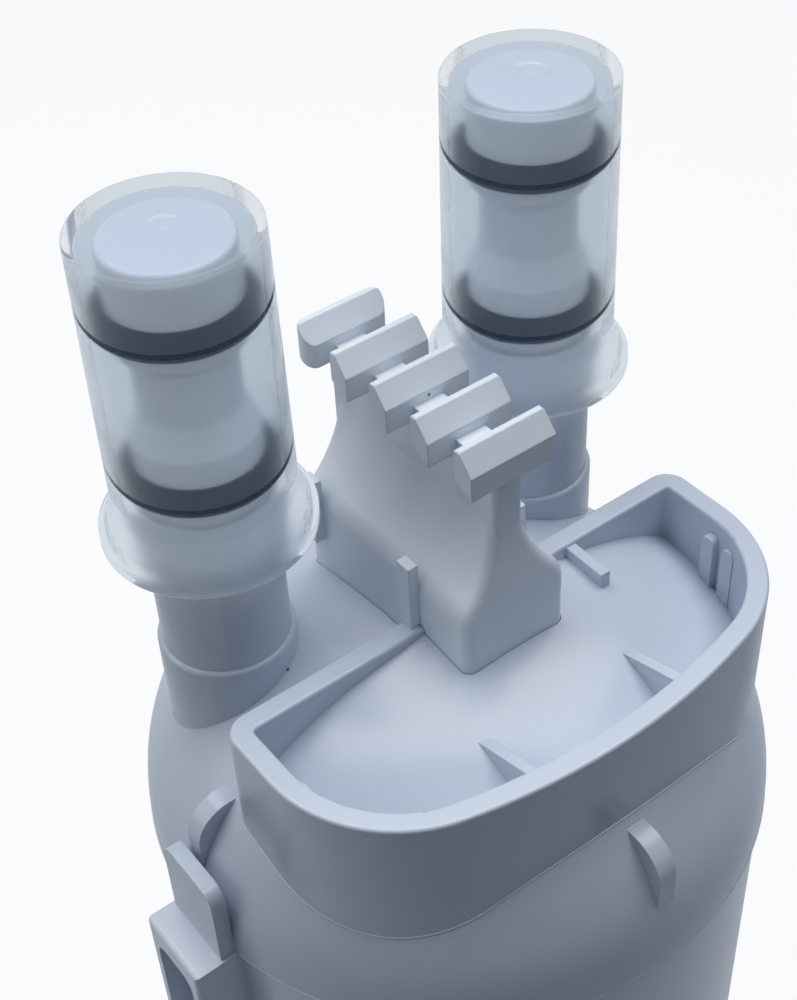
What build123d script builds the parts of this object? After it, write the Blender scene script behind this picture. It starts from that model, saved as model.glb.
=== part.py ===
"""Fridge water filter cartridge: barrel, domed head with open tray, toothed key and two capped ports.

Units are millimetres. +Z runs up the barrel from the centre of its flat base, the ports lie
along X and the tray faces -Y.
"""
import math
import os

from build123d import *

os.makedirs("parts", exist_ok=True)

# Barrel
seam_height = 156.0
barrel_radius = 33.8
barrel_wall = 2.4
base_thickness = 3.0
base_edge_radius = 3.0
weld_gap = 0.05

# Fastening lug on the barrel
lug_width = 9.6
lug_centre_y = -1.8
lug_stand = 4.8
lug_height = 18.0
lug_edge_radius = 0.6
lug_pocket_margin = 1.5
lug_pocket_top_margin = 2.6
lug_pocket_depth = 2.2
lug_pocket_radius = 1.8

# Domed head
head_step = 0.4
dome_height = 24.3
dome_power = 2.3
dome_points = 9
head_wall = 2.6
skirt_wall = 3.4
collar_depth = 6.0
collar_wall = 2.2
collar_rise = 2.0

# Tray on the head
tray_rim_height = 27.3
tray_side_set = 5.2
tray_back_y = -1.65
tray_front_set = 7.3
tray_front_bow = 68.7
tray_wall = 2.3
tray_floor_overlap = 0.5
tray_depth = 23.0
tray_side_draft = 0.1
tray_front_draft = 1.0
tray_front_corner = 15.0
tray_foot_corner = 19.0
tray_back_corner = 2.6
tray_inner_corner = 0.4
tray_floor_lift = 2.5
tray_rim_round = 0.35

# Ribs and gussets inside the tray
rib_thickness = 1.2
floor_rib_x = 12.9
floor_rib_length = 5.3
floor_rib_drop = 0.4
gusset_x = 9.1
gusset_length = 9.7
gusset_drop = 0.4
gusset_fall = 3.2
wall_rib_ys = (-11.1, -13.9)
wall_rib_radius = 0.85
wall_rib_reach = 1.0
wall_rib_drop = 1.9
rib_sink = 14.0
gusset_sink = 0.9

# Fins and keying plate around the head
fin_thickness = 2.2
fin_set = 1.2
fin_top = 15.5
fin_bottom = 5.0
fin_corner_radius = 4.0
key_plate_stand = 1.1
key_plate_thickness = 1.7
key_plate_width = 8.9
key_plate_height = 10.4
key_plate_corner = 1.8

# Ports
port_x = 19.96
port_y = 11.36
port_root = 9.6
port_boss_radius = 7.1
port_boss_top = 24.9
port_shaft_radius = 6.6
port_top = 71.1
port_shaft_drop = 26.9
port_land_radius = 6.1
port_waist_radius = 4.9
port_waist_drops = (19.6, 16.6, 10.8, 9.5)
port_bore_radius = 2.8
port_bore_drop = 11.5
port_window_radius = 1.9
port_window_drop = 13.7
port_edge_round = 0.5
port_boss_round = 0.4
ring_drops = (23.9, 6.6)
ring_section_radius = 1.31
ring_centre_radius = 6.28
ring_groove_gap = 0.08

# Transit caps
cap_thickness = 1.3
cap_stop_gap = 0.02
cap_top_radius = 8.6
cap_foot_radius = 8.9
cap_grip_gap = 0.06
cap_flare_start_drop = 27.5
cap_flare_end_drop = 30.1
cap_flare_inner_radius = 9.2
cap_bead_start_radius = 9.9
cap_rim_radius = 10.55
cap_rim_drop = 32.2
cap_rim_height = 1.5
cap_rim_inner_radius = 9.4
cap_edge_round = 0.5

# Toothed key
key_half_width = 6.26
key_front_y = -10.6
key_back_y = 16.0
key_foot_height = 19.5
key_shoulder_height = 31.8
key_flare_top = 42.0
key_web_half = 1.7
key_web_front_y = -9.4
key_web_back_y = 15.9
key_web_top = 49.0
key_corner_round = 1.2
key_fit = 0.05
key_seat_wall = 2.6
key_seat_bottom = 17.0
key_seat_height = 3.0
key_web_round = 0.7
key_crown = (5.95, 1.4)
key_crown_end = (5.2, 2.6)
key_post_thickness = 1.1
key_post_length = 1.9
key_post_top = 35.3
key_post_height = 8.0
key_post_ys = (-2.2, 13.9)
tooth_count = 5
tooth_pitch = 6.25
tooth_first_back_y = -7.6
tooth_half_length = 4.95
tooth_depth = 2.45
tooth_flat = 0.7
tooth_top = 52.1
tooth_front_top = 50.1
tooth_front_bottom = 47.4
tooth_sink = 0.3
tooth_edge_round = 0.25
end_tooth_round = 1.2

# Flow plate under the dome
plate_bottom = -1.0
plate_top = 1.2
plate_hole_radius = 2.5
plate_hole_set = 5.2
plate_hole_count = 6
plate_hole_turn = 30
socket_radius = 8.0
socket_wall = 2.4
socket_bottom = -14.0
socket_ceiling = -1.8
duct_height = 4.2
duct_bore_radius = 2.8
duct_radius = 4.8
duct_tail_radius = 5.2
duct_tail_bore = 2.3
duct_tail_top = 13.8
duct_socket_radius = 5.35
duct_socket_top = 14.0
duct_seal_height = 11.8
duct_seal_section = 0.9
duct_seal_radius = 4.4

# Filter element
block_room = 6.4
block_bore_radius = 8.6
block_bottom = 17.0
block_top_drop = 20.0
wrap_thickness = 1.0
net_thickness = 0.7
element_fit = 0.1
end_cap_thickness = 3.0
end_cap_lip = 6.0
end_cap_lip_wall = 1.4
core_wall = 1.3
core_hole_radius = 1.6
core_hole_rows = 6
core_hole_pitch = 18.0
core_hole_count = 4
spigot_radius = 7.5
spigot_bore_radius = 3.6
spigot_top = -2.6
spigot_ring_section = 1.1
spigot_ring_radius = 6.8
spigot_ring_heights = (-9.2, -5.2)
foot_count = 6
foot_thickness = 1.8
foot_clearance = 0.3
foot_root_set = 8.0
foot_chamfer = 4.0

full_turn = 360
half_step = 45
quarter_turn = 90
inner_radius = barrel_radius - barrel_wall
lug_reach = barrel_radius + lug_stand
head_radius = barrel_radius + head_step
tray_half_width = head_radius - tray_side_set
tray_front_y = tray_front_set - head_radius
fin_reach = head_radius - fin_set
key_plate_face = head_radius + key_plate_stand
plate_radius = inner_radius - collar_wall - 2 * weld_gap
plate_hole_ring = plate_radius - plate_hole_set
block_radius = inner_radius - block_room
foot_reach = inner_radius - foot_clearance
key_foot = seam_height + key_foot_height
key_shoulder = seam_height + key_shoulder_height
key_flare = seam_height + key_flare_top
key_web = seam_height + key_web_top
ring_seat = ring_centre_radius - ring_section_radius
ring_heights = [port_top - drop for drop in ring_drops]
port_shaft_top = port_top - port_shaft_drop
port_waist = [port_top - drop for drop in port_waist_drops]
port_bore_top = port_top - port_bore_drop
port_window_height = port_top - port_window_drop
cap_top = port_top + cap_thickness
cap_inner_radius = ring_centre_radius + ring_section_radius + cap_grip_gap
cap_flare_start = port_top - cap_flare_start_drop
cap_flare_end = port_top - cap_flare_end_drop
cap_rim_bottom = port_top - cap_rim_drop
port_places = [(-port_x, port_y), (port_x, port_y)]


def dome_curve(radius, height, base):
    """Points of the rounded head profile, from the outer edge up to the centre line."""
    steps = [math.radians(quarter_turn) * i / (dome_points - 1) for i in range(dome_points)]
    power = 2 / dome_power
    curve = [(radius * math.cos(t) ** power, base + height * math.sin(t) ** power) for t in steps[:-1]]
    return curve + [(0, base + height)]


def dome_face(radius, height):
    """Half section of a rounded head standing on the seam."""
    curve = dome_curve(radius, height, seam_height)
    with BuildLine() as outline:
        Spline(*curve, tangents=((0, 1), (-1, 0)))
        Polyline((0, seam_height + height), (0, seam_height), (radius, seam_height))
    make_face(outline.edges())


def axis_plane(x, y):
    """Upright plane through a vertical axis, with its origin at the seam."""
    return Plane(origin=(x, y, seam_height), x_dir=(1, 0, 0), z_dir=(0, -1, 0))


def upright(x, y):
    """Vertical axis through a place in plan."""
    return Axis((x, y, 0), (0, 0, 1))


def tray_face(half, back, front, front_corner, back_corner):
    """Tray outline: straight sides and back, bowed front, rounded corners."""
    centre = front + tray_front_bow
    side = centre - math.sqrt(tray_front_bow ** 2 - half ** 2)
    with BuildLine() as outline:
        Polyline((-half, side), (-half, back), (half, back), (half, side))
        ThreePointArc((half, side), (0, front), (-half, side))
    make_face(outline.edges())
    fillet(vertices().sort_by(Axis.Y)[:2], front_corner)
    fillet(vertices().sort_by(Axis.Y)[-2:], back_corner)


# Barrel with its lug
with BuildPart() as canister:
    with BuildSketch(Plane.XZ):
        with BuildLine():
            Polyline((0, 0), (barrel_radius, 0), (barrel_radius, seam_height),
                     (inner_radius, seam_height), (inner_radius, base_thickness),
                     (0, base_thickness), (0, 0))
        make_face()
    revolve(axis=Axis.Z)
    fillet(edges().group_by(Axis.Z)[:2], base_edge_radius)
    lug_middle = (lug_reach + inner_radius + barrel_wall / 2) / 2
    with BuildSketch(Plane.XY.offset(seam_height)):
        with Locations((-lug_middle, lug_centre_y)):
            Rectangle(2 * (lug_reach - lug_middle), lug_width)
    extrude(amount=-lug_height)
    fillet(faces().sort_by(Axis.X)[0].edges(), lug_edge_radius)
    pocket_height = lug_height - lug_pocket_margin - lug_pocket_top_margin
    pocket_middle = seam_height - lug_pocket_top_margin - pocket_height / 2
    with BuildSketch(Plane.YZ.offset(-lug_reach)):
        with Locations((lug_centre_y, pocket_middle)):
            RectangleRounded(lug_width - 2 * lug_pocket_margin, pocket_height, lug_pocket_radius)
    extrude(amount=lug_pocket_depth, mode=Mode.SUBTRACT)
canister.part.label = "canister"
export_step(canister.part, "parts/canister.step")

# Domed head with tray, fins, ports and key seat
key_length = key_back_y - key_front_y
key_middle_y = (key_back_y + key_front_y) / 2
tray_rim = seam_height + tray_rim_height
floor_inset = tray_wall - tray_floor_overlap
fin_middle = seam_height + (fin_top + fin_bottom) / 2
with BuildPart() as floor_rise:
    with BuildSketch(Plane.XZ):
        dome_face(head_radius + tray_floor_lift, dome_height + tray_floor_lift)
    revolve(axis=Axis.Z)
    with BuildSketch(Plane.XY.offset(tray_rim)):
        tray_face(tray_half_width - floor_inset, tray_back_y - floor_inset,
                  tray_front_y + floor_inset, tray_front_corner - floor_inset, tray_inner_corner)
    extrude(amount=-tray_depth, mode=Mode.INTERSECT)

with BuildPart() as head:
    with BuildSketch(Plane.XZ):
        dome_face(head_radius, dome_height)
    revolve(axis=Axis.Z)

    # Fins and keying plate
    for across in (Plane.XZ, Plane.YZ):
        with BuildSketch(across):
            with Locations((0, fin_middle)):
                Rectangle(2 * fin_reach, fin_top - fin_bottom)
            fillet(vertices().group_by(Axis.Y)[-1], fin_corner_radius)
        extrude(amount=fin_thickness / 2, both=True)
    with BuildSketch(Plane.YZ.offset(-key_plate_face)):
        with Locations((lug_centre_y, seam_height + key_plate_height / 2)):
            Rectangle(key_plate_width, key_plate_height)
        fillet(vertices().group_by(Axis.Y)[-1], key_plate_corner)
    extrude(amount=key_plate_thickness)

    # Tray walls and domed floor
    with BuildSketch(Plane.XY.offset(tray_rim)):
        tray_face(tray_half_width, tray_back_y, tray_front_y,
                  tray_front_corner, tray_back_corner)
    with BuildSketch(Plane.XY.offset(tray_rim - tray_depth)):
        tray_face(tray_half_width + tray_side_draft, tray_back_y,
                  tray_front_y - tray_front_draft, tray_foot_corner, tray_back_corner)
    loft()
    with BuildSketch(Plane.XY.offset(tray_rim)):
        tray_face(tray_half_width - tray_wall, tray_back_y - tray_wall,
                  tray_front_y + tray_wall, tray_front_corner - tray_wall, tray_inner_corner)
    extrude(amount=-tray_depth, mode=Mode.SUBTRACT)
    fillet(edges().group_by(Axis.Z)[-1], tray_rim_round)
    add(floor_rise.part)

    # Ribs and gussets inside the tray
    wall_inside = tray_half_width - tray_wall
    back_inside = tray_back_y - tray_wall
    with BuildSketch(Plane.XY.offset(tray_rim - floor_rib_drop)):
        with Locations((floor_rib_x, back_inside - floor_rib_length / 2)):
            Rectangle(rib_thickness, floor_rib_length)
    extrude(amount=-rib_sink)
    gusset_top = tray_rim - gusset_drop
    gusset_tip = (tray_front_y + tray_wall + gusset_length, gusset_top - gusset_fall)
    gusset_start = tray_front_y + gusset_sink
    for side in (-1, 1):
        with BuildSketch(Plane.YZ.offset(side * gusset_x)):
            with BuildLine():
                Polyline((gusset_start, gusset_top), gusset_tip,
                         (gusset_tip[0], gusset_top - rib_sink),
                         (gusset_start, gusset_top - rib_sink), close=True)
            make_face()
        extrude(amount=rib_thickness / 2, both=True)
        with BuildSketch(Plane.YZ.offset(side * (wall_inside + tray_wall / 2))):
            with Locations(*[(y, tray_rim - wall_rib_drop - rib_sink / 2) for y in wall_rib_ys]):
                RectangleRounded(2 * wall_rib_radius, rib_sink, wall_rib_radius - element_fit)
        extrude(amount=-side * (wall_rib_reach + tray_wall / 2))

    # Hollow inside, with the collar that enters the barrel and the seat of the key
    with BuildSketch(Plane.XZ):
        dome_face(head_radius - skirt_wall, dome_height - head_wall)
    revolve(axis=Axis.Z, mode=Mode.SUBTRACT)
    with BuildSketch(Plane.XY.offset(seam_height - collar_depth)):
        Circle(inner_radius - weld_gap)
        Circle(inner_radius - weld_gap - collar_wall, mode=Mode.SUBTRACT)
    extrude(amount=collar_depth + collar_rise)
    with BuildSketch(Plane.XY.offset(seam_height + key_seat_bottom)):
        with Locations((0, key_middle_y)):
            Rectangle(2 * (key_half_width + key_seat_wall), key_length + 2 * key_seat_wall)
    extrude(amount=key_seat_height)
    with BuildSketch(Plane.XY.offset(seam_height + key_foot_height)):
        with Locations((0, key_middle_y)):
            RectangleRounded(2 * (key_half_width + key_fit), key_length + 2 * key_fit,
                             key_corner_round)
    extrude(amount=tray_depth, mode=Mode.SUBTRACT)

    # Ports with ring seats, side windows and bores
    for x, y in port_places:
        with BuildSketch(axis_plane(x, y)):
            with BuildLine():
                Polyline((0, port_root), (port_boss_radius, port_root),
                         (port_boss_radius, port_boss_top), (port_shaft_radius, port_boss_top),
                         (port_shaft_radius, port_shaft_top), (port_land_radius, port_shaft_top),
                         (port_land_radius, port_waist[0]), (port_waist_radius, port_waist[1]),
                         (port_waist_radius, port_waist[2]), (port_land_radius, port_waist[3]),
                         (port_land_radius, port_top), (0, port_top), close=True)
            make_face()
            for height in ring_heights:
                with Locations((ring_seat + 2 * ring_section_radius, height)):
                    Rectangle(4 * ring_section_radius,
                              2 * (ring_section_radius + ring_groove_gap), mode=Mode.SUBTRACT)
        revolve(axis=upright(x, y))
        fillet(edges().filter_by_position(Axis.Z, seam_height + port_top,
                                          seam_height + port_top), port_edge_round)
        boss_rim = edges().filter_by(GeomType.CIRCLE).filter_by_position(
            Axis.Z, seam_height + port_boss_top, seam_height + port_boss_top)
        fillet(boss_rim.group_by(SortBy.RADIUS)[-1], port_boss_round)
        with BuildSketch(Plane.XY.offset(seam_height + port_root)):
            with Locations((x, y)):
                Circle(port_bore_radius)
        extrude(amount=port_bore_top - port_root, mode=Mode.SUBTRACT)
        with BuildSketch(axis_plane(x, y)):
            with Locations((0, port_window_height)):
                Circle(port_window_radius)
        extrude(amount=-port_boss_radius, mode=Mode.SUBTRACT)
    with BuildSketch(Plane.XY.offset(seam_height + port_root)):
        with Locations(port_places[1]):
            Circle(duct_socket_radius)
    extrude(amount=duct_socket_top - port_root, mode=Mode.SUBTRACT)
head.part.label = "head"
export_step(head.part, "parts/head.step")

# Slanted teeth of the key, a plain one and the rounder one at the back end
with BuildPart() as tooth:
    with BuildSketch(Plane.YZ):
        with BuildLine():
            tooth_front_y = tooth_first_back_y - tooth_depth
            Polyline((tooth_first_back_y, key_web - tooth_sink),
                     (tooth_first_back_y, seam_height + tooth_top),
                     (tooth_first_back_y - tooth_flat, seam_height + tooth_top),
                     (tooth_front_y, seam_height + tooth_front_top),
                     (tooth_front_y, seam_height + tooth_front_bottom), close=True)
        make_face()
    extrude(amount=tooth_half_length, both=True)

with BuildPart() as end_tooth:
    add(tooth.part)
    fillet(edges().filter_by(Axis.Z), end_tooth_round)
    fillet(faces().sort_by(Axis.Z)[-1].edges(), tooth_edge_round)

with BuildPart() as plain_tooth:
    add(tooth.part)
    fillet(faces().sort_by(Axis.Z)[-1].edges(), tooth_edge_round)

# Toothed key standing in its seat
with BuildPart() as key_rack:
    with BuildSketch(Plane.XZ.offset(-key_back_y)):
        with BuildLine():
            for side in (-1, 1):
                foot = Polyline((0, key_foot), (side * key_half_width, key_foot),
                                (side * key_half_width, key_shoulder))
                crown = ThreePointArc(foot @ 1, (side * key_crown[0], key_shoulder + key_crown[1]),
                                      (side * key_crown_end[0], key_shoulder + key_crown_end[1]))
                flare = TangentArc(crown @ 1, (side * key_web_half, key_flare),
                                   tangent=crown % 1)
                Polyline(flare @ 1, (side * key_web_half, key_web), (0, key_web))
        make_face()
    extrude(amount=key_length)
    with BuildSketch(Plane.YZ):
        with BuildLine():
            front = Polyline((key_middle_y, key_foot), (key_front_y, key_foot),
                             (key_front_y, key_shoulder))
            front_flare = Spline(front @ 1, (key_web_front_y, key_flare),
                                 tangents=((0, 1), (0, 1)))
            Polyline(front_flare @ 1, (key_web_front_y, key_web), (key_middle_y, key_web))
            back = Polyline((key_middle_y, key_foot), (key_back_y, key_foot),
                            (key_back_y, key_shoulder))
            back_flare = Spline(back @ 1, (key_web_back_y, key_flare), tangents=((0, 1), (0, 1)))
            Polyline(back_flare @ 1, (key_web_back_y, key_web), (key_middle_y, key_web))
        make_face()
    extrude(amount=2 * key_half_width, both=True, mode=Mode.INTERSECT)
    fillet(edges().filter_by(Axis.Z).group_by(Axis.Z)[0], key_corner_round)
    fillet(edges().filter_by(Axis.Z).group_by(Axis.Z)[-1], key_web_round)

    # Guide posts on the sides of the block
    for side in (-1, 1):
        for y in key_post_ys:
            with BuildSketch(Plane.XY.offset(seam_height + key_post_top)):
                with Locations((side * (key_half_width + key_post_thickness / 2 - key_fit), y)):
                    Rectangle(key_post_thickness + 2 * key_fit, key_post_length)
            extrude(amount=-key_post_height)

    # Slanted teeth across the top of the web
    with Locations(*[(0, step * tooth_pitch) for step in range(tooth_count - 1)]):
        add(plain_tooth.part)
    with Locations((0, (tooth_count - 1) * tooth_pitch)):
        add(end_tooth.part)
key_rack.part.label = "key_rack"
export_step(key_rack.part, "parts/key_rack.step")

# Transit caps, one on each port
for (x, y), name in zip(port_places, ("inlet_cap", "outlet_cap")):
    inner_top = port_top + cap_stop_gap
    with BuildPart() as cap:
        with BuildSketch(axis_plane(x, y)):
            with BuildLine():
                Polyline((0, inner_top), (0, cap_top), (cap_top_radius, cap_top),
                         (cap_foot_radius, cap_flare_start), (cap_bead_start_radius, cap_flare_end),
                         (cap_rim_radius, cap_rim_bottom + cap_rim_height),
                         (cap_rim_radius, cap_rim_bottom), (cap_rim_inner_radius, cap_rim_bottom),
                         (cap_flare_inner_radius, cap_flare_end), (cap_inner_radius, cap_flare_start),
                         (cap_inner_radius, inner_top), (0, inner_top))
            make_face()
        revolve(axis=upright(x, y))
        fillet(edges().filter_by(GeomType.CIRCLE).group_by(Axis.Z)[-1], cap_edge_round)
    cap.part.label = name
    export_step(cap.part, f"parts/{name}.step")

# Rubber rings on the ports
for (x, y), port_name in zip(port_places, ("inlet", "outlet")):
    for height, level in zip(ring_heights, ("lower", "upper")):
        with BuildPart() as port_ring:
            with BuildSketch(axis_plane(x, y)):
                with Locations((ring_centre_radius, height)):
                    Circle(ring_section_radius)
            revolve(axis=upright(x, y))
        port_ring.part.label = f"{port_name}_{level}_ring"
        export_step(port_ring.part, f"parts/{port_name}_{level}_ring.step")

# Flow plate that leads the cleaned water to the outlet port
outlet_x, outlet_y = port_places[1]
outlet_ring = math.hypot(outlet_x, outlet_y)
duct_turn = math.degrees(math.atan2(outlet_y, outlet_x))
duct_plane = Plane(origin=(0, 0, seam_height), x_dir=(outlet_y, -outlet_x, 0),
                   z_dir=(outlet_x, outlet_y, 0))
with BuildPart() as flow_plate:
    with BuildSketch(Plane.XY.offset(seam_height + plate_bottom)):
        Circle(plate_radius)
    extrude(amount=plate_top - plate_bottom)
    with BuildSketch(Plane.XY.offset(seam_height + socket_bottom)):
        Circle(socket_radius + socket_wall)
    extrude(amount=plate_top - socket_bottom)
    with BuildSketch(Plane.XY.offset(seam_height)):
        Circle(duct_radius)
    extrude(amount=duct_height)
    with BuildSketch(duct_plane):
        with Locations((0, duct_height)):
            Circle(duct_radius)
    extrude(amount=outlet_ring)
    with BuildSketch(Plane.XY.offset(seam_height)):
        with Locations(port_places[1]):
            Circle(duct_tail_radius)
    extrude(amount=duct_tail_top)
    with BuildSketch(Plane.XY.offset(seam_height + socket_bottom)):
        Circle(socket_radius)
    extrude(amount=socket_ceiling - socket_bottom, mode=Mode.SUBTRACT)
    with BuildSketch(Plane.XY.offset(seam_height + socket_ceiling)):
        Circle(duct_bore_radius)
    extrude(amount=duct_height - socket_ceiling, mode=Mode.SUBTRACT)
    with BuildSketch(duct_plane):
        with Locations((0, duct_height)):
            Circle(duct_bore_radius)
    extrude(amount=outlet_ring, mode=Mode.SUBTRACT)
    with BuildSketch(Plane.XY.offset(seam_height + duct_height)):
        with Locations(port_places[1]):
            Circle(duct_tail_bore)
    extrude(amount=duct_tail_top - duct_height, mode=Mode.SUBTRACT)
    with BuildSketch(axis_plane(outlet_x, outlet_y)):
        with Locations((duct_seal_radius + duct_seal_section, duct_seal_height)):
            Rectangle(4 * duct_seal_section, 2 * (duct_seal_section + ring_groove_gap))
    revolve(axis=upright(outlet_x, outlet_y), mode=Mode.SUBTRACT)
    with BuildSketch(Plane.XY.offset(seam_height + plate_bottom)):
        with PolarLocations(plate_hole_ring, plate_hole_count, start_angle=duct_turn + plate_hole_turn):
            Circle(plate_hole_radius)
    extrude(amount=plate_top - plate_bottom, mode=Mode.SUBTRACT)
flow_plate.part.label = "flow_plate"
export_step(flow_plate.part, "parts/flow_plate.step")

with BuildPart() as duct_seal:
    with BuildSketch(axis_plane(outlet_x, outlet_y)):
        with Locations((duct_seal_radius, duct_seal_height)):
            Circle(duct_seal_section)
    revolve(axis=upright(outlet_x, outlet_y))
duct_seal.part.label = "duct_seal"
export_step(duct_seal.part, "parts/duct_seal.step")

# Filter element: block, core, wrap, net and the caps at its ends
block_top = seam_height - block_top_drop
block_length = block_top - block_bottom
with BuildPart() as carbon_block:
    with BuildSketch(Plane.XY.offset(block_bottom)):
        Circle(block_radius)
        Circle(block_bore_radius, mode=Mode.SUBTRACT)
    extrude(amount=block_length)
carbon_block.part.label = "carbon_block"
export_step(carbon_block.part, "parts/carbon_block.step")

core_radius = block_bore_radius - element_fit
with BuildPart() as core_tube:
    with BuildSketch(Plane.XY.offset(block_bottom)):
        Circle(core_radius)
        Circle(core_radius - core_wall, mode=Mode.SUBTRACT)
    extrude(amount=block_length)
    for row in range(core_hole_rows):
        height = block_bottom + block_length / 2 + (row - (core_hole_rows - 1) / 2) * core_hole_pitch
        turn = row * half_step
        with Locations(Location((0, 0, height), (0, 0, turn))):
            for quarter in range(core_hole_count // 2):
                with Locations(Location((0, 0, 0), (quarter_turn, 0, quarter * quarter_turn))):
                    Cylinder(core_hole_radius, 4 * core_radius, mode=Mode.SUBTRACT)
core_tube.part.label = "core_tube"
export_step(core_tube.part, "parts/core_tube.step")

wrap_radius = block_radius + wrap_thickness
net_radius = wrap_radius + net_thickness
for name, outer, inner in (("prefilter_wrap", wrap_radius, block_radius),
                           ("netting_sleeve", net_radius, wrap_radius)):
    with BuildPart() as sleeve:
        with BuildSketch(Plane.XY.offset(block_bottom)):
            Circle(outer)
            Circle(inner, mode=Mode.SUBTRACT)
        extrude(amount=block_length)
    sleeve.part.label = name
    export_step(sleeve.part, f"parts/{name}.step")

lip_inner = net_radius + element_fit
lip_outer = lip_inner + end_cap_lip_wall
with BuildPart() as upper_end_cap:
    with BuildSketch(Plane.XZ):
        with BuildLine():
            spigot_top_z = seam_height + spigot_top
            Polyline((spigot_bore_radius, block_top), (lip_inner, block_top),
                     (lip_inner, block_top - end_cap_lip), (lip_outer, block_top - end_cap_lip),
                     (lip_outer, block_top + end_cap_thickness),
                     (spigot_radius, block_top + end_cap_thickness),
                     (spigot_radius, spigot_top_z), (spigot_bore_radius, spigot_top_z), close=True)
        make_face()
        for height in spigot_ring_heights:
            with Locations((spigot_ring_radius + spigot_ring_section, seam_height + height)):
                Rectangle(4 * spigot_ring_section,
                          2 * (spigot_ring_section + ring_groove_gap), mode=Mode.SUBTRACT)
    revolve(axis=Axis.Z)
upper_end_cap.part.label = "upper_end_cap"
export_step(upper_end_cap.part, "parts/upper_end_cap.step")

for height, level in zip(spigot_ring_heights, ("lower", "upper")):
    with BuildPart() as spigot_ring:
        with BuildSketch(Plane.XZ):
            with Locations((spigot_ring_radius, seam_height + height)):
                Circle(spigot_ring_section)
        revolve(axis=Axis.Z)
    spigot_ring.part.label = f"spigot_{level}_ring"
    export_step(spigot_ring.part, f"parts/spigot_{level}_ring.step")

with BuildPart() as lower_end_cap:
    with BuildSketch(Plane.XZ):
        with BuildLine():
            cap_base = block_bottom - end_cap_thickness
            Polyline((0, cap_base), (lip_outer, cap_base), (lip_outer, block_bottom + end_cap_lip),
                     (lip_inner, block_bottom + end_cap_lip), (lip_inner, block_bottom),
                     (0, block_bottom), close=True)
        make_face()
    revolve(axis=Axis.Z)
    for step in range(foot_count):
        with BuildSketch(Plane.XZ.rotated((0, 0, step * full_turn / foot_count))):
            with BuildLine():
                foot_root = foot_reach - foot_root_set
                Polyline((foot_root, base_thickness), (foot_reach - foot_chamfer, base_thickness),
                         (foot_reach, base_thickness + foot_chamfer),
                         (foot_reach, block_bottom + end_cap_lip),
                         (lip_outer - element_fit, block_bottom + end_cap_lip),
                         (lip_outer - element_fit, cap_base), (foot_root, cap_base), close=True)
            make_face()
        extrude(amount=foot_thickness / 2, both=True)
lower_end_cap.part.label = "lower_end_cap"
export_step(lower_end_cap.part, "parts/lower_end_cap.step")
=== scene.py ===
"""Looks of the water filter cartridge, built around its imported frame. Metres, +Z up."""
import math

import bmesh
import bpy
from mathutils import Matrix, Vector


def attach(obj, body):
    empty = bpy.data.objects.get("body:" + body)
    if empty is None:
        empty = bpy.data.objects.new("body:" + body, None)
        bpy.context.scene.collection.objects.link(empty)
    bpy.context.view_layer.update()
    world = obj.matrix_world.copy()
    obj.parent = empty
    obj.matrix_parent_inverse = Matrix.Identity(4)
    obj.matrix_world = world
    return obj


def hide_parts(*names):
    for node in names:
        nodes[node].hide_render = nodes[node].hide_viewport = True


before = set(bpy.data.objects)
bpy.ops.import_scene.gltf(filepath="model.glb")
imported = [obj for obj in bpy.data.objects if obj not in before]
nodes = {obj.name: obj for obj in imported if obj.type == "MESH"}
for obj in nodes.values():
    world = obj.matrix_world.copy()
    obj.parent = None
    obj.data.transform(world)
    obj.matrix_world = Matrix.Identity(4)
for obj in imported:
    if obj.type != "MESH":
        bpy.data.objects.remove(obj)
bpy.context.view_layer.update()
scene = bpy.context.scene

MM = 0.001
SEAM = 156.0        # top of the barrel, in millimetres above the base


def height(value):
    """Height above the seam, as a length in metres from the base."""
    return (SEAM + value) * MM


def linear(red, green, blue):
    """A colour written in the usual 0 to 255 steps, made linear."""
    def channel(v):
        v = v / 255
        return v / 12.92 if v <= 0.04045 else ((v + 0.055) / 1.055) ** 2.4
    return (channel(red), channel(green), channel(blue), 1.0)


# Camera, found by fitting the ports, tray and teeth to the picture; its place is in millimetres

IMAGE_WIDTH, IMAGE_HEIGHT = 797, 1000
CAMERA_PLACE = (-73.68, -96.64, SEAM + 147.29)
CAMERA_AZIMUTH, CAMERA_ELEVATION, CAMERA_ROLL = -35.09, 41.89, -3.3
FOCAL_PIXELS = 1678.41
CENTRE_PIXEL = (398.42, 500.12)
SENSOR_MM = 36.0
NEAREST_SEEN = 0.005

# Light: places and sizes in metres, powers in watts

LAMPS = (("overhead", (0.167, 0.237, 1.364), (1.7, 0.9), 14.2),
         ("left_window", (-0.85, 0.4, 0.6), (0.7, 0.7), 0.7))
LAMP_AIM = (0, 0, 0.2)
DAYLIGHT = (0.95, 0.97, 1.0)
ROOM_FILL, CAP_FILL = 0.175, 0.75       # soft light of the room, and inside the milky caps
ROOM_TINT, CAP_TINT = linear(204, 220, 242), linear(250, 250, 246)
WHITE = (1.0, 1.0, 1.0, 1.0)

# Floor: what the eye sees is partly a plain white, and the rest keeps the shadow

FLOOR_REACH = 3.0
FLOOR_WHITE, FLOOR_WHITE_SHARE = 1.14, 0.62
FLOOR_FADE = (0.7, 1.8)                 # metres out, over which the floor turns all white
FLOOR_SHARE_IN_MIRRORS = 0.97
FLOOR_IN_MIRRORS = linear(204, 213, 226)
FLOOR_GREY, FLOOR_BOUNCE = (0.8, 0.8, 0.8, 1.0), (0.12, 0.12, 0.12, 1.0)

# Ports and transit caps, in millimetres; heights are above the seam

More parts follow.
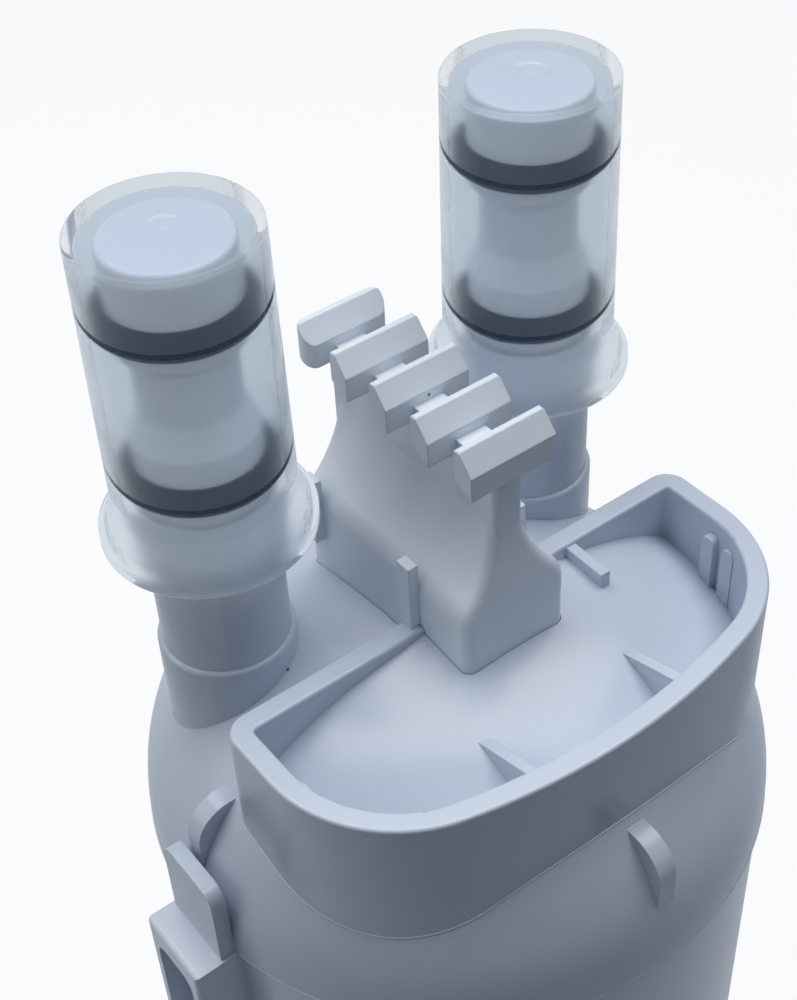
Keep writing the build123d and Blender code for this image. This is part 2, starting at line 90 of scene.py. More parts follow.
PORTS = ((-1, "inlet"), (1, "outlet"))
PORT_X, PORT_Y = 19.96, 11.36
CAP_TOP, CAP_CEILING, CAP_FOOT = 72.4, 71.12, 38.9
CAP_TOP_RADIUS, CAP_LOW_RADIUS, CAP_BORE_RADIUS = 8.6, 8.9, 7.65
CAP_FLARE_START, CAP_FLARE_END = 43.6, 41.0
SKIRT_RADIUS = 10.55
MIDDLE_OF_WALL, MIDDLE_OF_SKIRT, MIDDLE_OF_TOP = 8.2, 9.6, 71.8
SKIRT_FROST_TOP, SKIRT_FROST_FULL = 46.0, 44.4

# Each corner of the cap's section is a radius, a height and a rounding
GATE_MARK = [(0, CAP_TOP - 0.04, 0), (0.45, CAP_TOP - 0.04, 0.08), (0.6, CAP_TOP - 0.1, 0.08),
             (1.4, CAP_TOP - 0.12, 0.1), (1.7, CAP_TOP, 0.3)]
CAP_OUTSIDE = [(CAP_TOP_RADIUS, CAP_TOP, 0.45), (CAP_LOW_RADIUS, CAP_FLARE_START, 2.5),
               (9.9, 41.1, 0.9), (SKIRT_RADIUS, 40.5, 0.45), (SKIRT_RADIUS, CAP_FOOT, 0.3)]
CAP_INSIDE = [(9.4, CAP_FOOT, 0.3), (9.2, CAP_FLARE_END, 1.2),
              (CAP_BORE_RADIUS, CAP_FLARE_START, 1.5), (CAP_BORE_RADIUS, CAP_CEILING, 0.4),
              (0, CAP_CEILING, 0)]

# Rubber rings on the ports, squeezed flat where they press on the caps

RING_CENTRE, RING_REACH, RING_HALF_HEIGHT = 6.28, 7.665, 1.31
RING_LEVELS = (("lower", 47.2), ("upper", 64.5))
RING_BULGE = 0.03
RING_STEPS = 40
TURN_STEPS = 160                        # flats round a cap or a ring

# Fine lines left by the mould at the tray's foot, and by the weld at the seam

LINE_RADIUS, LINE_SIDES = 0.11, 6
FOOT_FOLDS = (-1.0, -0.35)              # signed fold where the tray's wall meets the dome
FOOT_LEVELS = (9.5, 17.0)
FOOT_BACK = -3.0
WELD_RADIUS, WELD_LEVEL, WELD_STEPS = 34.14, 0.08, 240

# Grain of the surfaces: scales per metre, depth in millimetres

CLOUD_SCALE, WAVE_SCALE, FLECK_SCALE = 55.0, 130.0, 900.0
CLOUD_GLOSS, FLECK_GLOSS = 0.8, 0.03    # how far clouds and flecks move the roughness
WAVE_TO_PEBBLE = 6.0                    # height of the waves against the pebble finish
RELIEF_DEPTH = 0.02
SCRATCH_SCALE, SCRATCH_AMOUNT = 60.0, 0.12
SCRATCH_PALER = 1.08
SCRATCH_EDGE, SCRATCH_PATCH = (0.012, 0.002), (0.58, 0.68)
SCRATCH_WAYS = (((0.3, 0.2, 0.6), (1.0, 0.06, 0.35), 70.0),     # turn, stretch, scale of patches
                ((0.7, -0.4, -0.5), (0.07, 1.0, 0.3), 110.0))
SPECK_SCALE, SPECK_DENSITY = 230.0, 0.05
SPECK_EDGE = (0.07, 0.04)
DUST = linear(70, 66, 62)

# Clear plastic of the caps

CAP_HAZE, SKIRT_FROST = 0.35, 0.45      # extra roughness of the inner wall, and of the skirt's
CAP_COAT = 0.35                         # gloss of the outside
CAP_LIGHT_THROUGH = 0.78                # share of a lamp's light that a cap lets through
TRAPPED_BOUNCES = 1.5                   # mirrored more often in the wall, light goes straight on
ONE_STEP = 0.5                          # a light path counts whole steps; this tells none from one


# Nodes

def wire(tree, start, end):
    """Join two sockets, or set the second one to a constant."""
    if isinstance(start, bpy.types.NodeSocket):
        tree.links.new(start, end)
    else:
        end.default_value = start


def math_node(tree, operation, *values, clamp=False):
    """A Math node whose inputs are sockets or numbers."""
    node = tree.nodes.new("ShaderNodeMath")
    node.operation = operation
    node.use_clamp = clamp
    for value, socket in zip(values, node.inputs):
        wire(tree, value, socket)
    return node.outputs[0]


def ramp(tree, factor, low, high):
    """A smooth step of a value between two levels."""
    node = tree.nodes.new("ShaderNodeMapRange")
    node.interpolation_type = "SMOOTHSTEP"
    wire(tree, factor, node.inputs["Value"])
    node.inputs["From Min"].default_value = low
    node.inputs["From Max"].default_value = high
    return node.outputs["Result"]


def noise(tree, vector, scale, detail, roughness=0.5):
    """Soft noise from 0 to 1."""
    node = tree.nodes.new("ShaderNodeTexNoise")
    node.inputs["Scale"].default_value = scale
    node.inputs["Detail"].default_value = detail
    node.inputs["Roughness"].default_value = roughness
    wire(tree, vector, node.inputs["Vector"])
    return node.outputs["Fac"]


def mix_colour(tree, factor, first, second, blend="MIX"):
    """A mix of two colours, each a socket or a constant."""
    node = tree.nodes.new("ShaderNodeMix")
    node.data_type = "RGBA"
    node.blend_type = blend
    for value, index in ((factor, 0), (first, 6), (second, 7)):     # the node's colour sockets
        wire(tree, value, node.inputs[index])
    return node.outputs[2]


def mix_shader(tree, factor, first, second):
    """A mix of two shaders."""
    node = tree.nodes.new("ShaderNodeMixShader")
    for value, socket in zip((factor, first, second), node.inputs):
        wire(tree, value, socket)
    return node.outputs[0]


def object_place(tree):
    """Place on the object, which is its place in the cartridge's own frame."""
    return tree.nodes.new("ShaderNodeTexCoord").outputs["Object"]


def add_relief(tree, shader, relief_height, strength, depth=RELIEF_DEPTH, round_edge=0.0):
    """Fine relief for the light, on edges that catch it as if rounded where asked."""
    relief = tree.nodes.new("ShaderNodeBump")
    relief.inputs["Strength"].default_value = strength
    relief.inputs["Distance"].default_value = depth * MM
    wire(tree, relief_height, relief.inputs["Height"])
    if round_edge:
        edge = tree.nodes.new("ShaderNodeBevel")
        edge.samples = 6
        edge.inputs["Radius"].default_value = round_edge * MM
        wire(tree, edge.outputs[0], relief.inputs["Normal"])
    wire(tree, relief.outputs[0], shader.inputs["Normal"])


# Shader node groups shared by the materials

def new_group(name, inputs, outputs):
    """An empty shader node group, with its input and output sockets."""
    group = bpy.data.node_groups.new(name, "ShaderNodeTree")
    for label, kind, value in inputs:
        socket = group.interface.new_socket(name=label, in_out="INPUT", socket_type=kind)
        if value is not None:
            socket.default_value = value
    for label, kind in outputs:
        group.interface.new_socket(name=label, in_out="OUTPUT", socket_type=kind)
    given, out = group.nodes.new("NodeGroupInput"), group.nodes.new("NodeGroupOutput")
    return group, given.outputs, out.inputs


def moulded_group():
    """Moulded skin: faint cloudy shade, uneven gloss, soft waves and a pebble finish."""
    group, given, out = new_group(
        "moulded_skin",
        [("Colour", "NodeSocketColor", None), ("Shade", "NodeSocketFloat", 0.04),
         ("Roughness", "NodeSocketFloat", 0.3), ("Pebble", "NodeSocketFloat", 1.0),
         ("Wave", "NodeSocketFloat", 1.0)],
        [("Colour", "NodeSocketColor"), ("Roughness", "NodeSocketFloat"),
         ("Height", "NodeSocketFloat")])
    place = object_place(group)
    cloud = noise(group, place, CLOUD_SCALE, detail=2.0)
    fleck = noise(group, place, FLECK_SCALE, detail=2.0)
    wave = noise(group, place, WAVE_SCALE, detail=1.0)

    cloud_swing = math_node(group, "MULTIPLY_ADD", cloud, 2.0, -1.0)
    shade = math_node(group, "MULTIPLY", cloud_swing, given["Shade"])
    bright = math_node(group, "ADD", shade, 1.0)
    grey = group.nodes.new("ShaderNodeCombineColor")
    for channel in grey.inputs:
        wire(group, bright, channel)
    wire(group, mix_colour(group, 1.0, given["Colour"], grey.outputs[0], "MULTIPLY"),
         out["Colour"])

    fleck_gloss = math_node(group, "MULTIPLY_ADD", fleck, 2 * FLECK_GLOSS, -FLECK_GLOSS)
    cloud_gloss = math_node(group, "MULTIPLY", shade, CLOUD_GLOSS)
    gloss = math_node(group, "ADD", given["Roughness"], fleck_gloss)
    wire(group, math_node(group, "ADD", gloss, cloud_gloss, clamp=True), out["Roughness"])

    pebble_height = math_node(group, "MULTIPLY", fleck, given["Pebble"])
    wave = math_node(group, "MULTIPLY", wave, given["Wave"])
    wave_height = math_node(group, "MULTIPLY", wave, WAVE_TO_PEBBLE)
    wire(group, math_node(group, "ADD", pebble_height, wave_height), out["Height"])
    return group


def scratch_group():
    """Thin stray scratches in two directions, broken into patches, as a mask."""
    group, given, out = new_group(
        "stray_scratches",
        [("Amount", "NodeSocketFloat", 1.0), ("Scale", "NodeSocketFloat", SCRATCH_SCALE)],
        [("Mask", "NodeSocketFloat")])
    place = object_place(group)
    masks = []
    for turn, stretch, patch_scale in SCRATCH_WAYS:
        mapping = group.nodes.new("ShaderNodeMapping")
        mapping.inputs["Rotation"].default_value = turn
        mapping.inputs["Scale"].default_value = stretch
        wire(group, place, mapping.inputs["Vector"])
        cell = group.nodes.new("ShaderNodeTexVoronoi")
        cell.feature = "DISTANCE_TO_EDGE"
        wire(group, given["Scale"], cell.inputs["Scale"])
        wire(group, mapping.outputs[0], cell.inputs["Vector"])
        line = ramp(group, cell.outputs["Distance"], *SCRATCH_EDGE)
        patch = ramp(group, noise(group, place, patch_scale, detail=1.0), *SCRATCH_PATCH)
        masks.append(math_node(group, "MULTIPLY", line, patch))
    both = math_node(group, "MAXIMUM", *masks)
    wire(group, math_node(group, "MULTIPLY", both, given["Amount"]), out["Mask"])
    return group


def speck_group():
    """Tiny dark dust specks, as a mask."""
    group, given, out = new_group(
        "dust_specks",
        [("Density", "NodeSocketFloat", SPECK_DENSITY), ("Scale", "NodeSocketFloat", SPECK_SCALE)],
        [("Mask", "NodeSocketFloat")])
    cell = group.nodes.new("ShaderNodeTexVoronoi")
    wire(group, given["Scale"], cell.inputs["Scale"])
    wire(group, object_place(group), cell.inputs["Vector"])
    dot = ramp(group, cell.outputs["Distance"], *SPECK_EDGE)
    pick = group.nodes.new("ShaderNodeSeparateColor")
    wire(group, cell.outputs["Color"], pick.inputs[0])
    chosen = math_node(group, "LESS_THAN", pick.outputs[0], given["Density"])
    wire(group, math_node(group, "MULTIPLY", dot, chosen), out["Mask"])
    return group


MOULDED, SCRATCHES, SPECKS = moulded_group(), scratch_group(), speck_group()


# Materials

def use_group(tree, group, **values):
    """Put a group in a material with its inputs set, and give its outputs."""
    node = tree.nodes.new("ShaderNodeGroup")
    node.node_tree = group
    for name, value in values.items():
        node.inputs[name].default_value = value
    return node.outputs


def new_material(name):
    """A material, with its nodes and its shader."""
    material = bpy.data.materials.new(name)
    material.use_nodes = True
    return material, material.node_tree, material.node_tree.nodes["Principled BSDF"]


def moulded_plastic(name, colour, roughness, round_edge, shade=0.03):
    """White injection-moulded plastic with a soft gloss, a few scratches and specks of dust."""
    material, tree, shader = new_material(name)
    skin = use_group(tree, MOULDED, Colour=colour, Shade=shade, Roughness=roughness,
                     Pebble=0.25, Wave=0.25)
    lines = use_group(tree, SCRATCHES, Amount=SCRATCH_AMOUNT)
    specks = use_group(tree, SPECKS)
    pale = tuple(min(1.0, c * SCRATCH_PALER) for c in colour[:3]) + (1.0,)
    marked = mix_colour(tree, lines["Mask"], skin["Colour"], pale)
    wire(tree, mix_colour(tree, specks["Mask"], marked, DUST), shader.inputs["Base Color"])
    wire(tree, skin["Roughness"], shader.inputs["Roughness"])
    add_relief(tree, shader, skin["Height"], strength=0.2, round_edge=round_edge)
    shader.inputs["IOR"].default_value = 1.49
    shader.inputs["Specular IOR Level"].default_value = 0.5
    return material


def outside_of_cap(tree, place):
    """Mask of the outer faces of a cap: 1 outside, 0 on its inner wall and ceiling."""
    side = math_node(tree, "ABSOLUTE", place["X"])
    across = math_node(tree, "POWER", math_node(tree, "SUBTRACT", side, PORT_X * MM), 2.0)
    along = math_node(tree, "POWER", math_node(tree, "SUBTRACT", place["Y"], PORT_Y * MM), 2.0)
    radius = math_node(tree, "SQRT", math_node(tree, "ADD", across, along))
    middle = tree.nodes.new("ShaderNodeMapRange")
    wire(tree, place["Z"], middle.inputs["Value"])
    for label, value in (("From Min", height(CAP_FLARE_END)), ("From Max", height(CAP_FLARE_START)),
                         ("To Min", MIDDLE_OF_SKIRT * MM), ("To Max", MIDDLE_OF_WALL * MM)):
        middle.inputs[label].default_value = value
    wall = math_node(tree, "GREATER_THAN", radius, middle.outputs[0])
    top = math_node(tree, "GREATER_THAN", place["Z"], height(MIDDLE_OF_TOP))
    return math_node(tree, "MAXIMUM", wall, top)


def clear_cap_plastic():
    """Clear plastic: glossy outside, hazy inside, so it looks milky, and frosted at the skirt."""
    material, tree, shader = new_material("clear_cap_plastic")
    skin = use_group(tree, MOULDED, Colour=linear(223, 231, 239), Shade=0.02, Roughness=0.06,
                     Pebble=0.0, Wave=0.2)
    wire(tree, skin["Colour"], shader.inputs["Base Color"])
    split = tree.nodes.new("ShaderNodeSeparateXYZ")
    wire(tree, object_place(tree), split.inputs[0])
    outside = outside_of_cap(tree, split.outputs)
    inside = math_node(tree, "SUBTRACT", 1.0, outside)
    haze = math_node(tree, "MULTIPLY", inside, CAP_HAZE)
    skirt = ramp(tree, split.outputs["Z"], height(SKIRT_FROST_TOP), height(SKIRT_FROST_FULL))
    frost = math_node(tree, "MULTIPLY", math_node(tree, "MULTIPLY", skirt, inside), SKIRT_FROST)
    blur = math_node(tree, "ADD", haze, frost)
    wire(tree, math_node(tree, "ADD", blur, skin["Roughness"]), shader.inputs["Roughness"])
    wire(tree, math_node(tree, "MULTIPLY", outside, CAP_COAT), shader.inputs["Coat Weight"])
    shader.inputs["Coat Roughness"].default_value = 0.06
    add_relief(tree, shader, skin["Height"], strength=0.3)
    shader.inputs["Transmission Weight"].default_value = 0.93
    shader.inputs["IOR"].default_value = 1.13

    path = tree.nodes.new("ShaderNodeLightPath").outputs
    from_lamp = math_node(tree, "MULTIPLY", path["Is Shadow Ray"], CAP_LIGHT_THROUGH)
    lighting = math_node(tree, "MAXIMUM", from_lamp, path["Is Diffuse Ray"])
    trapped = math_node(tree, "GREATER_THAN", path["Glossy Depth"], TRAPPED_BOUNCES)
    let_through = math_node(tree, "MAXIMUM", lighting, trapped)
    wire(tree, math_node(tree, "SUBTRACT", 1.0, let_through), shader.inputs["Alpha"])
    return material


def ring_rubber():
    """Black nitrile rubber, slightly greased."""
    material, tree, shader = new_material("ring_rubber")
    skin = use_group(tree, MOULDED, Colour=linear(2, 36, 60), Shade=0.2, Roughness=0.55,
                     Pebble=1.0, Wave=0.3)
    wire(tree, skin["Colour"], shader.inputs["Base Color"])
    wire(tree, skin["Roughness"], shader.inputs["Roughness"])
    shader.inputs["Specular IOR Level"].default_value = 0.08
    add_relief(tree, shader, skin["Height"], strength=0.4)
    return material


def grainy(name, colour, roughness, scale, relief):
    """Matte stuff with its own grain, for the pieces inside the barrel."""
    material, tree, shader = new_material(name)
    grain = noise(tree, object_place(tree), scale, detail=4.0, roughness=0.6)
    dark = tuple(c * 0.72 for c in colour[:3]) + (1.0,)
    wire(tree, mix_colour(tree, grain, dark, colour), shader.inputs["Base Color"])
    wire(tree, math_node(tree, "MULTIPLY_ADD", grain, 0.2, roughness - 0.1),
         shader.inputs["Roughness"])
    add_relief(tree, shader, grain, strength=relief, depth=0.1)
    return material


def give(material, *names):
    """Dress CAD nodes with a material."""
    for name in names:
        for holder in nodes[name].material_slots:
            holder.material = material


SHELL = moulded_plastic("shell_white", linear(205, 214, 228), roughness=0.24, round_edge=0.15)
BARREL = moulded_plastic("barrel_white", linear(220, 228, 241), roughness=0.24, round_edge=0.15)
KEY = moulded_plastic("key_white", linear(229, 236, 244), roughness=0.34, round_edge=0.2,
                      shade=0.02)
INNER = moulded_plastic("inner_white", linear(222, 226, 232), roughness=0.5, round_edge=0.0)
# Beads of the shell's own plastic, coloured paler than the shell: a painted highlight along the
# mould and weld lines
BEAD_PAINTED_HIGHLIGHT = moulded_plastic("parting_line", linear(224, 231, 242), roughness=0.4, round_edge=0.0)
RUBBER = ring_rubber()
CLEAR = clear_cap_plastic()
CARBON = grainy("pressed_carbon", linear(38, 38, 40), roughness=0.85, scale=900.0, relief=0.6)
FELT = grainy("felt_wrap", linear(226, 226, 222), roughness=0.9, scale=1500.0, relief=0.5)
NET = grainy("net_sleeve", linear(232, 234, 236), roughness=0.55, scale=700.0, relief=0.3)

give(SHELL, "head")
give(BARREL, "canister")
give(KEY, "key_rack")
give(INNER, "flow_plate", "upper_end_cap", "lower_end_cap", "core_tube")
give(RUBBER, *[name for name in nodes if name.endswith(("ring", "seal"))])
give(CLEAR, "inlet_cap", "outlet_cap")
give(CARBON, "carbon_block")
give(FELT, "prefilter_wrap")
give(NET, "netting_sleeve")


# Transit caps and rings, turned about their ports

def link(name, mesh):
    """A new object at the origin."""
    piece = bpy.data.objects.new(name, mesh)
    scene.collection.objects.link(piece)
    return piece


def rounded(corners, steps=5):
    """Points along a profile whose corners, given as radius, height and rounding, are rounded."""
    points = []
    for index, (x, z, rounding) in enumerate(corners):
        here = Vector((x, z))
        if not rounding:
            points.append(here)
            continue
        before = (Vector(corners[index - 1][:2]) - here).normalized()
        after = (Vector(corners[index + 1][:2]) - here).normalized()
        half = before.angle(after) / 2
        set_back = rounding / math.tan(half)
        middle = here + (before + after).normalized() * rounding / math.sin(half)
        first = here + before * set_back - middle
        last = here + after * set_back - middle
        turn = first.angle_signed(last)
        points += [middle + Matrix.Rotation(-turn * i / steps, 2) @ first for i in range(steps + 1)]
    return points


def turned(name, profile, centre):
    """A closed body made by turning a profile, listed outside first, about an upright axis."""
    turns = [2 * math.pi * i / TURN_STEPS for i in range(TURN_STEPS)]
    work = bmesh.new()
    rings = []
    for radius, level in profile:
        ring = [work.verts.new(((centre[0] + radius * math.cos(turn)) * MM,
                                (centre[1] + radius * math.sin(turn)) * MM, height(level)))
                for turn in (turns if radius else turns[:1])]
        rings.append(ring)
    for above, below in zip(rings, rings[1:]):
        for i in range(TURN_STEPS):
            j = (i + 1) % TURN_STEPS
            if len(above) == 1:
                work.faces.new((above[0], below[i], below[j]))
            elif len(below) == 1:
                work.faces.new((above[j], above[i], below[0]))
            else:
                work.faces.new((above[j], above[i], below[i], below[j]))
    bmesh.ops.remove_doubles(work, verts=work.verts, dist=0.001 * MM)
    bmesh.ops.recalc_face_normals(work, faces=work.faces)
    for face in work.faces:
        face.smooth = True
    mesh = bpy.data.meshes.new(name)
    work.to_mesh(mesh)
    work.free()
    return link(name, mesh)


def build_caps():
    """Transit caps, clear, each with the mark of its mould's gate on top."""
    profile = rounded(GATE_MARK + CAP_OUTSIDE + CAP_INSIDE)
    for side, name in PORTS:
        cap = turned(f"{name}_clear_cap", profile, (side * PORT_X, PORT_Y))
        cap.data.materials.append(CLEAR)
        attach(cap, f"{name}_cover")
        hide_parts(f"{name}_cap")


def ring_section(level):
    """Round section of a rubber ring, flat on its outer side."""
    half_width = RING_REACH + RING_BULGE - RING_CENTRE
    section = []
    for i in range(RING_STEPS + 1):
        turn = 2 * math.pi * i / RING_STEPS
        reach = min(RING_CENTRE + half_width * math.cos(turn), RING_REACH)
        section.append((reach, level - RING_HALF_HEIGHT * math.sin(turn)))
    return section


def build_port_rings():
    """Two rubber rings on each port, in their squeezed shape."""
    for side, port in PORTS:
        for level_name, level in RING_LEVELS:
            ring = turned(f"{port}_{level_name}_squeezed_ring", ring_section(level),
                          (side * PORT_X, PORT_Y))
            ring.data.materials.append(RUBBER)
            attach(ring, "cartridge")
            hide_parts(f"{port}_{level_name}_ring")


# Mould and weld lines

def parting_line_tree(material):
    """Geometry nodes: beads along the tray's foot crease and round the weld."""
    tree = bpy.data.node_groups.new("parting_lines", "GeometryNodeTree")
    tree.interface.new_socket(name="Geometry", in_out="INPUT", socket_type="NodeSocketGeometry")
    sizes = (("Line radius", LINE_RADIUS * MM), ("Weld radius", WELD_RADIUS * MM),
             ("Weld height", height(WELD_LEVEL)), ("Lowest foot", height(FOOT_LEVELS[0])),
             ("Highest foot", height(FOOT_LEVELS[1])), ("Back of foot", FOOT_BACK * MM),
             ("Deepest fold", FOOT_FOLDS[0]), ("Shallowest fold", FOOT_FOLDS[1]))
    for label, _ in sizes:
        tree.interface.new_socket(name=label, in_out="INPUT", socket_type="NodeSocketFloat")
    tree.interface.new_socket(name="Geometry", in_out="OUTPUT", socket_type="NodeSocketGeometry")
    given = tree.nodes.new("NodeGroupInput").outputs
    out = tree.nodes.new("NodeGroupOutput")

    def compare(operation, first, second):
        node = tree.nodes.new("FunctionNodeCompare")
        node.data_type, node.operation = "FLOAT", operation
        wire(tree, first, node.inputs[0])
        wire(tree, second, node.inputs[1])
        return node.outputs[0]

    fold = tree.nodes.new("GeometryNodeInputMeshEdgeAngle").outputs["Signed Angle"]
    place = tree.nodes.new("ShaderNodeSeparateXYZ")
    wire(tree, tree.nodes.new("GeometryNodeInputPosition").outputs[0], place.inputs[0])
    tests = [compare("GREATER_THAN", fold, given["Deepest fold"]),
             compare("LESS_THAN", fold, given["Shallowest fold"]),
             compare("GREATER_THAN", place.outputs["Z"], given["Lowest foot"]),
             compare("LESS_THAN", place.outputs["Z"], given["Highest foot"]),
             compare("LESS_THAN", place.outputs["Y"], given["Back of foot"])]
    chosen = tests[0]
    for test in tests[1:]:
        both = tree.nodes.new("FunctionNodeBooleanMath")
        both.operation = "AND"
        wire(tree, chosen, both.inputs[0])
        wire(tree, test, both.inputs[1])
        chosen = both.outputs[0]
    crease = tree.nodes.new("GeometryNodeMeshToCurve")
    wire(tree, given["Geometry"], crease.inputs["Mesh"])
    wire(tree, chosen, crease.inputs["Selection"])

    weld = tree.nodes.new("GeometryNodeCurvePrimitiveCircle")
    weld.inputs["Resolution"].default_value = WELD_STEPS
    wire(tree, given["Weld radius"], weld.inputs["Radius"])
    lift = tree.nodes.new("ShaderNodeCombineXYZ")
    wire(tree, given["Weld height"], lift.inputs["Z"])
    lifted = tree.nodes.new("GeometryNodeTransform")
    wire(tree, weld.outputs[0], lifted.inputs["Geometry"])
    wire(tree, lift.outputs[0], lifted.inputs["Translation"])

    paths = tree.nodes.new("GeometryNodeJoinGeometry")
    wire(tree, crease.outputs[0], paths.inputs[0])
    wire(tree, lifted.outputs[0], paths.inputs[0])
    section = tree.nodes.new("GeometryNodeCurvePrimitiveCircle")
    section.inputs["Resolution"].default_value = LINE_SIDES
    wire(tree, given["Line radius"], section.inputs["Radius"])
    bead = tree.nodes.new("GeometryNodeCurveToMesh")
    wire(tree, paths.outputs[0], bead.inputs["Curve"])
    wire(tree, section.outputs[0], bead.inputs["Profile Curve"])
    bead.inputs["Fill Caps"].default_value = True
    smooth = tree.nodes.new("GeometryNodeSetShadeSmooth")
    real = tree.nodes.new("GeometryNodeRealizeInstances")
    dressed = tree.nodes.new("GeometryNodeSetMaterial")
    dressed.inputs["Material"].default_value = material
    wire(tree, bead.outputs[0], smooth.inputs["Geometry"])
    wire(tree, smooth.outputs[0], real.inputs[0])
    wire(tree, real.outputs[0], dressed.inputs["Geometry"])
    wire(tree, dressed.outputs[0], out.inputs[0])
    return tree, sizes


def build_parting_lines():
    """Fine mould and weld lines, laid along a merged copy of the head's mesh."""
    work = bmesh.new()
    work.from_mesh(nodes["head"].data)
    bmesh.ops.remove_doubles(work, verts=work.verts, dist=0.001 * MM)
    mesh = bpy.data.meshes.new("head_copy")
    work.to_mesh(mesh)
    work.free()
    source = link("head_copy", mesh)
    tree, sizes = parting_line_tree(BEAD_PAINTED_HIGHLIGHT)
    modifier = source.modifiers.new("parting_lines", "NODES")
    modifier.node_group = tree
    sockets = {item.name: item.identifier for item in tree.interface.items_tree
               if item.item_type == "SOCKET" and item.in_out == "INPUT"}
    for label, value in sizes:
        modifier[sockets[label]] = value
    drawn = source.evaluated_get(bpy.context.evaluated_depsgraph_get())
    lines = link("parting_lines", bpy.data.meshes.new_from_object(drawn))
    source.modifiers.remove(modifier)
    bpy.data.objects.remove(source)
    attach(lines, "cartridge")


build_caps()
build_port_rings()
build_parting_lines()


# Floor, light and camera

def seen_directly(tree, path, through_caps_only=False):
    """1 for the eye and for mirrored or refracted sight, 0 once the path met a matte surface."""
    mirrored = path["Is Glossy Ray"]
    if through_caps_only:
        entered = math_node(tree, "GREATER_THAN", path["Transmission Depth"], ONE_STEP)
        mirrored = math_node(tree, "MULTIPLY", mirrored, entered)
    seen = math_node(tree, "MAXIMUM", path["Is Camera Ray"], path["Is Transmission Ray"])
    seen = math_node(tree, "MAXIMUM", seen, mirrored)
    clean = math_node(tree, "LESS_THAN", path["Diffuse Depth"], ONE_STEP)
    return math_node(tree, "MULTIPLY", seen, clean)


def floor_material():
    """Pale floor: white with a soft shadow for the eye, plain grey for the light it throws back."""
    material, tree, shader = new_material("pale_floor")
    path = tree.nodes.new("ShaderNodeLightPath").outputs
    eye = path["Is Camera Ray"]
    wire(tree, mix_colour(tree, eye, FLOOR_BOUNCE, FLOOR_GREY), shader.inputs["Base Color"])
    shader.inputs["Roughness"].default_value = 0.9
    shader.inputs["Specular IOR Level"].default_value = 0.0

    white = tree.nodes.new("ShaderNodeEmission")
    outside = math_node(tree, "LESS_THAN", path["Transmission Depth"], ONE_STEP)
    mirrored = math_node(tree, "MULTIPLY", path["Is Glossy Ray"], outside)
    wire(tree, mix_colour(tree, mirrored, WHITE, FLOOR_IN_MIRRORS), white.inputs["Color"])
    wire(tree, math_node(tree, "MULTIPLY_ADD", eye, FLOOR_WHITE - 1.0, 1.0),
         white.inputs["Strength"])

    distance = tree.nodes.new("ShaderNodeVectorMath")
    distance.operation = "LENGTH"
    wire(tree, object_place(tree), distance.inputs[0])
    far = ramp(tree, distance.outputs["Value"], *FLOOR_FADE)
    more_for_eye = math_node(tree, "MULTIPLY_ADD", far, 1.0 - FLOOR_WHITE_SHARE,
                             FLOOR_WHITE_SHARE - FLOOR_SHARE_IN_MIRRORS)
    share = math_node(tree, "MULTIPLY_ADD", eye, more_for_eye, FLOOR_SHARE_IN_MIRRORS)
    share = math_node(tree, "MULTIPLY", share, seen_directly(tree, path))
    wire(tree, mix_shader(tree, share, shader.outputs[0], white.outputs[0]),
         tree.nodes["Material Output"].inputs["Surface"])
    return material


def build_floor():
    """Wide floor under the cartridge, for its shadow."""
    reach = FLOOR_REACH
    mesh = bpy.data.meshes.new("floor")
    corners = [(-reach, -reach, 0), (reach, -reach, 0), (reach, reach, 0), (-reach, reach, 0)]
    mesh.from_pydata(corners, [], [(0, 1, 2, 3)])
    mesh.materials.append(floor_material())
    floor = link("floor", mesh)


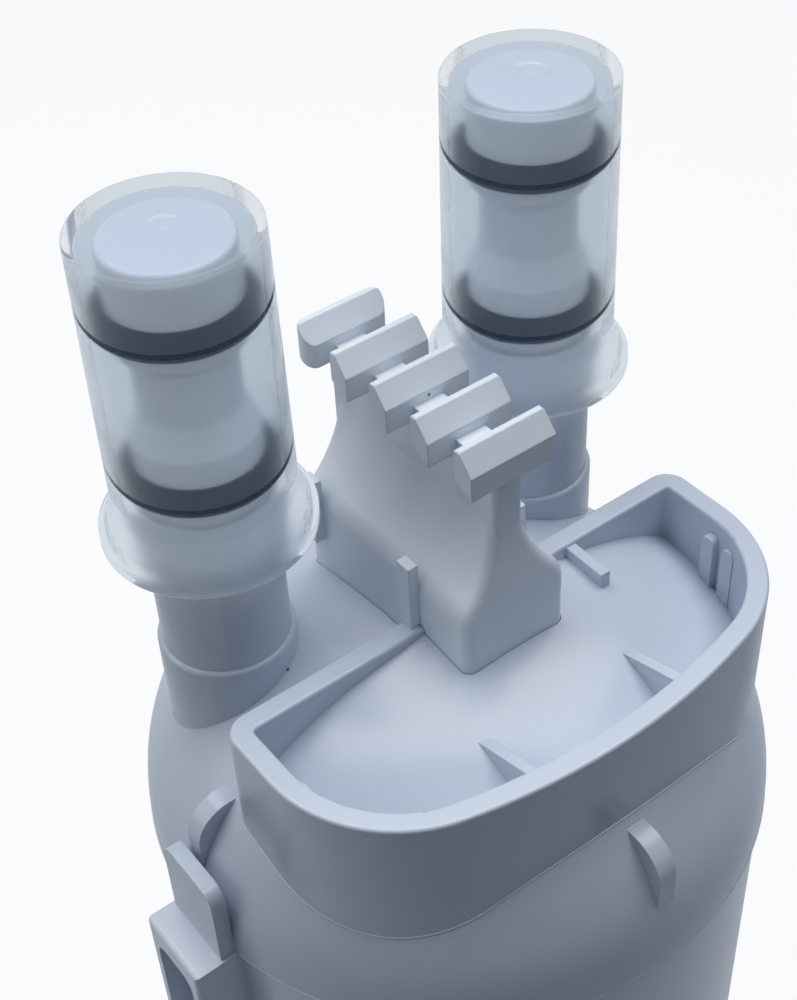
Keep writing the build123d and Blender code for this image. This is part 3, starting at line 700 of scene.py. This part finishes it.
def build_world():
    """Soft room light, stronger inside the caps, before plain white for the eye."""
    world = bpy.data.worlds.new("studio")
    scene.world = world
    world.use_nodes = True
    tree = world.node_tree
    tree.nodes.clear()
    path = tree.nodes.new("ShaderNodeLightPath").outputs
    in_cap = math_node(tree, "GREATER_THAN", path["Transparent Depth"], ONE_STEP)
    fill, white = (tree.nodes.new("ShaderNodeBackground") for _ in range(2))
    wire(tree, math_node(tree, "MULTIPLY_ADD", in_cap, CAP_FILL - ROOM_FILL, ROOM_FILL),
         fill.inputs["Strength"])
    wire(tree, mix_colour(tree, in_cap, ROOM_TINT, CAP_TINT), fill.inputs["Color"])
    wire(tree, WHITE, white.inputs["Color"])
    seen = seen_directly(tree, path, through_caps_only=True)
    out = tree.nodes.new("ShaderNodeOutputWorld")
    wire(tree, mix_shader(tree, seen, fill.outputs[0], white.outputs[0]), out.inputs[0])


def build_lamps():
    """Wide soft lamps, turned towards the cartridge."""
    for name, place, size, power in LAMPS:
        data = bpy.data.lights.new(name, "AREA")
        data.shape = "RECTANGLE"
        data.size, data.size_y = size
        data.energy = power
        data.color = DAYLIGHT
        lamp = link(name, data)
        lamp.location = place
        lamp.rotation_euler = (Vector(LAMP_AIM) - Vector(place)).to_track_quat("-Z", "Y").to_euler()


def build_camera():
    """Camera where the picture was taken from."""
    azimuth, elevation = math.radians(CAMERA_AZIMUTH), math.radians(CAMERA_ELEVATION)
    roll = math.radians(CAMERA_ROLL)
    back = Vector((math.sin(azimuth) * math.cos(elevation),
                   -math.cos(azimuth) * math.cos(elevation), math.sin(elevation)))
    right = (-back).cross(Vector((0, 0, 1))).normalized()
    up = right.cross(-back)
    turned_right = math.cos(roll) * right + math.sin(roll) * up
    turned_up = -math.sin(roll) * right + math.cos(roll) * up
    data = bpy.data.cameras.new("camera")
    data.sensor_fit = "VERTICAL"
    data.sensor_height = SENSOR_MM
    data.lens = SENSOR_MM * FOCAL_PIXELS / IMAGE_HEIGHT
    data.shift_x = (IMAGE_WIDTH / 2 - CENTRE_PIXEL[0]) / IMAGE_HEIGHT
    data.shift_y = (CENTRE_PIXEL[1] - IMAGE_HEIGHT / 2) / IMAGE_HEIGHT
    data.clip_start = NEAREST_SEEN
    camera = link("camera", data)
    turn = Matrix((turned_right, turned_up, back)).transposed().to_4x4()
    camera.matrix_world = Matrix.Translation(Vector(CAMERA_PLACE) * MM) @ turn
    scene.camera = camera


build_camera()
build_floor()
build_world()
build_lamps()

scene.view_settings.view_transform = "Standard"
